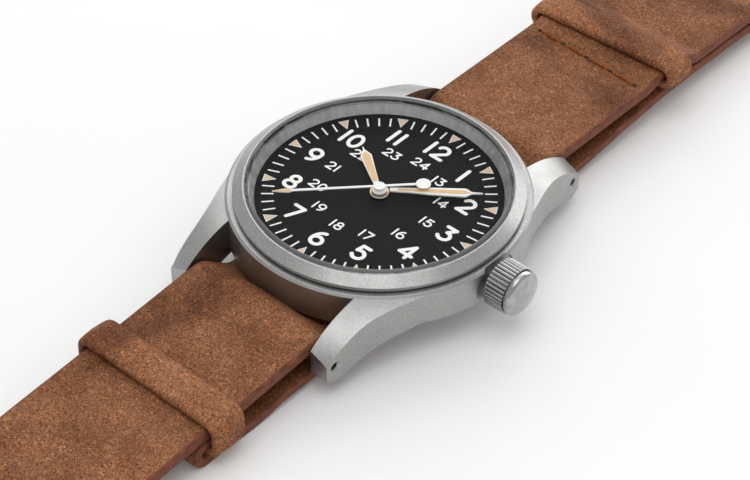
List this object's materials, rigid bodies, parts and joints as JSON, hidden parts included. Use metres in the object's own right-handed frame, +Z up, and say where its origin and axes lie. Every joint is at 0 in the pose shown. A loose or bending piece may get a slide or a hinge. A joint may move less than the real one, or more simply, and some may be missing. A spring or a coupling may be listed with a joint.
{
  "type": "wristwatch",
  "caption": "Steel field watch with black dial, three hands and crown, on a two-layer brown leather strap with loops and buckle",
  "frame": {"origin": "on the watch axis, at the flat underside of the strap under the case", "axes": "+X to the crown, +Y to twelve o'clock and the buckle, +Z up out of the dial"},
  "size_m": [0.0415, 0.2902, 0.0113],
  "materials": {
    "steel": "satin",
    "crystal_glass": "polished",
    "black_dial": "matte",
    "white_paint": "matte",
    "gasket_rubber": "matte",
    "brass": "satin",
    "ruby": "polished",
    "blued_spring": "satin",
    "tan_leather": "matte",
    "nylon": "matte"
  },
  "bodies": {
    "watch": {"case_middle": "steel", "bezel": "steel", "crystal": "crystal_glass", "crystal_gasket": "gasket_rubber", "rehaut": "steel", "dial": "black_dial", "case_back": "steel", "case_back_gasket": "gasket_rubber", "crown_tube": "steel", "movement_ring": "nylon", "case_clamps": "steel", "main_plate": "steel", "barrel_bridge": "steel", "train_bridge": "steel", "pallet_bridge": "steel", "balance_cock": "steel", "jewels": "ruby", "movement_screws": "steel", "hairspring": "blued_spring", "setting_jumper": "steel", "click_spring": "steel", "spring_bar_tubes": "steel", "long_strap": "tan_leather", "buckle_loop": "tan_leather", "short_strap": "tan_leather", "keeper_twelve": "tan_leather", "keeper_six": "tan_leather", "buckle_keeper": "tan_leather"},
    "seconds": {"fourth_wheel": "brass", "seconds_hand": "white_paint"},
    "minutes": {"center_wheel": "brass", "cannon_pinion": "steel", "minute_hand": "white_paint"},
    "hours": {"hour_wheel": "brass", "hour_hand": "white_paint"},
    "third": {"third_wheel": "brass"},
    "escape": {"escape_wheel": "steel"},
    "barrel": {"barrel_drum": "brass", "mainspring": "blued_spring"},
    "minute_work": {"minute_wheel": "brass"},
    "setting": {"setting_wheel": "steel"},
    "crown_slider": {"crown_gasket": "gasket_rubber"},
    "crown_and_stem": {"crown": "steel", "stem": "steel"},
    "clutch": {"clutch_wheel": "steel"},
    "winding": {"winding_pinion": "steel"},
    "crown_wheel": {"crown_wheel": "steel"},
    "ratchet": {"ratchet_wheel": "steel", "barrel_arbor": "steel", "ratchet_screw": "steel"},
    "setting_lever": {"setting_lever": "steel"},
    "yoke": {"yoke": "steel"},
    "click": {"click": "steel"},
    "pallet": {"pallet_fork": "steel"},
    "balance": {"balance_wheel": "brass"},
    "frame": {"buckle_frame": "steel"},
    "tongue": {"buckle_tongue": "steel"},
    "free_keeper": {"free_keeper": "tan_leather"},
    "tip_twelve": {"spring_bar_tip_twelve": "steel"},
    "tip_six": {"spring_bar_tip_six": "steel"}
  },
  "joints": [
    {"name": "seconds_spin", "type": "hinge", "parent": "watch", "child": "seconds", "pos_m": [0, 0, 0.0057], "axis": [0, 0, 1], "continuous": true},
    {"name": "minutes_spin", "type": "hinge", "parent": "watch", "child": "minutes", "pos_m": [0, 0, 0.0063], "axis": [0, 0, 1], "continuous": true},
    {"name": "hours_spin", "type": "hinge", "parent": "watch", "child": "hours", "pos_m": [0, 0, 0.0083], "axis": [0, 0, 1], "continuous": true},
    {"name": "third_spin", "type": "hinge", "parent": "watch", "child": "third", "pos_m": [0.00117, -0.00435, 0.006], "axis": [0, 0, 1], "continuous": true},
    {"name": "escape_spin", "type": "hinge", "parent": "watch", "child": "escape", "pos_m": [-0.00403, -0.00071, 0.006], "axis": [0, 0, 1], "continuous": true},
    {"name": "barrel_spin", "type": "hinge", "parent": "watch", "child": "barrel", "pos_m": [0.00013, 0.00546, 0.007], "axis": [0, 0, 1], "continuous": true},
    {"name": "minute_work_spin", "type": "hinge", "parent": "watch", "child": "minute_work", "pos_m": [0.00184, -0.00154, 0.008], "axis": [0, 0, 1], "continuous": true},
    {"name": "setting_spin", "type": "hinge", "parent": "watch", "child": "setting", "pos_m": [0.00417, 0, 0.0079], "axis": [0, 0, 1], "continuous": true},
    {"name": "crown_pull", "type": "slide", "parent": "watch", "child": "crown_slider", "axis": [1, 0, 0], "range_m": [0, 0.0014]},
    {"name": "crown_turn", "type": "hinge", "parent": "crown_slider", "child": "crown_and_stem", "pos_m": [0.019, 0, 0.00665], "axis": [1, 0, 0], "continuous": true},
    {"name": "clutch_slide", "type": "slide", "parent": "crown_and_stem", "child": "clutch", "axis": [1, 0, 0], "range_m": [-0.0024, 0]},
    {"name": "winding_spin", "type": "hinge", "parent": "watch", "child": "winding", "pos_m": [0.008, 0, 0.00665], "axis": [1, 0, 0], "continuous": true},
    {"name": "crown_wheel_spin", "type": "hinge", "parent": "watch", "child": "crown_wheel", "pos_m": [0.00542, 0, 0.0048], "axis": [0, 0, 1], "continuous": true},
    {"name": "ratchet_spin", "type": "hinge", "parent": "watch", "child": "ratchet", "pos_m": [0.00013, 0.00546, 0.0048], "axis": [0, 0, 1], "continuous": true},
    {"name": "setting_lever_swing", "type": "hinge", "parent": "watch", "child": "setting_lever", "pos_m": [0.0105, 0.003, 0.0084], "axis": [0, 0, 1], "range_deg": [0, 27.5]},
    {"name": "yoke_swing", "type": "hinge", "parent": "watch", "child": "yoke", "pos_m": [0.00635, -0.004, 0.008], "axis": [0, 0, 1], "range_deg": [0, 13.4]},
    {"name": "click_rock", "type": "hinge", "parent": "watch", "child": "click", "pos_m": [-0.00454, 0.00938, 0.0048], "axis": [0, 0, 1], "range_deg": [0, 10], "stiffness_Nm_per_rad": 0.00000002},
    {"name": "pallet_rock", "type": "hinge", "parent": "watch", "child": "pallet", "pos_m": [-0.00517, -0.00288, 0.006], "axis": [0, 0, 1], "range_deg": [-5, 5]},
    {"name": "balance_swing", "type": "hinge", "parent": "watch", "child": "balance", "pos_m": [-0.0066, -0.0056, 0.00545], "axis": [0, 0, 1], "range_deg": [-270, 270], "stiffness_Nm_per_rad": 0.00000004},
    {"name": "buckle_swing", "type": "hinge", "parent": "watch", "child": "frame", "pos_m": [0, 0.112, 0.00212], "axis": [1, 0, 0], "range_deg": [-60, 60]},
    {"name": "tongue_swing", "type": "hinge", "parent": "frame", "child": "tongue", "pos_m": [0, 0.112, 0.00212], "axis": [1, 0, 0], "range_deg": [0, 60]},
    {"name": "free_keeper_slide", "type": "slide", "parent": "watch", "child": "free_keeper", "axis": [0, 1, 0], "range_m": [0, 0.0045]},
    {"name": "tip_twelve_press", "type": "slide", "parent": "watch", "child": "tip_twelve", "axis": [-1, 0, 0], "range_m": [0, 0.0015], "stiffness_N_per_m": 60, "springref_m": -0.0005},
    {"name": "tip_six_press", "type": "slide", "parent": "watch", "child": "tip_six", "axis": [-1, 0, 0], "range_m": [0, 0.0015], "stiffness_N_per_m": 60, "springref_m": -0.0005}
  ],
  "couplings": [
    {"joint": "third_spin", "follows": "seconds_spin", "ratio": -0.13333},
    {"joint": "minutes_spin", "follows": "seconds_spin", "ratio": 0.016667},
    {"joint": "hours_spin", "follows": "seconds_spin", "ratio": 0.0013889},
    {"joint": "minute_work_spin", "follows": "seconds_spin", "ratio": -0.0055556},
    {"joint": "setting_spin", "follows": "seconds_spin", "ratio": 0.01},
    {"joint": "barrel_spin", "follows": "seconds_spin", "ratio": -0.0027778},
    {"joint": "escape_spin", "follows": "seconds_spin", "ratio": -12},
    {"joint": "clutch_slide", "follows": "crown_pull", "ratio": -1.6429},
    {"joint": "setting_lever_swing", "follows": "crown_pull", "rad_per_m": 336.6},
    {"joint": "yoke_swing", "follows": "crown_pull", "rad_per_m": 160.82},
    {"joint": "winding_spin", "follows": "crown_turn", "ratio": 1},
    {"joint": "crown_wheel_spin", "follows": "crown_turn", "ratio": 0.61538},
    {"joint": "ratchet_spin", "follows": "crown_turn", "ratio": -0.32}
  ]
}
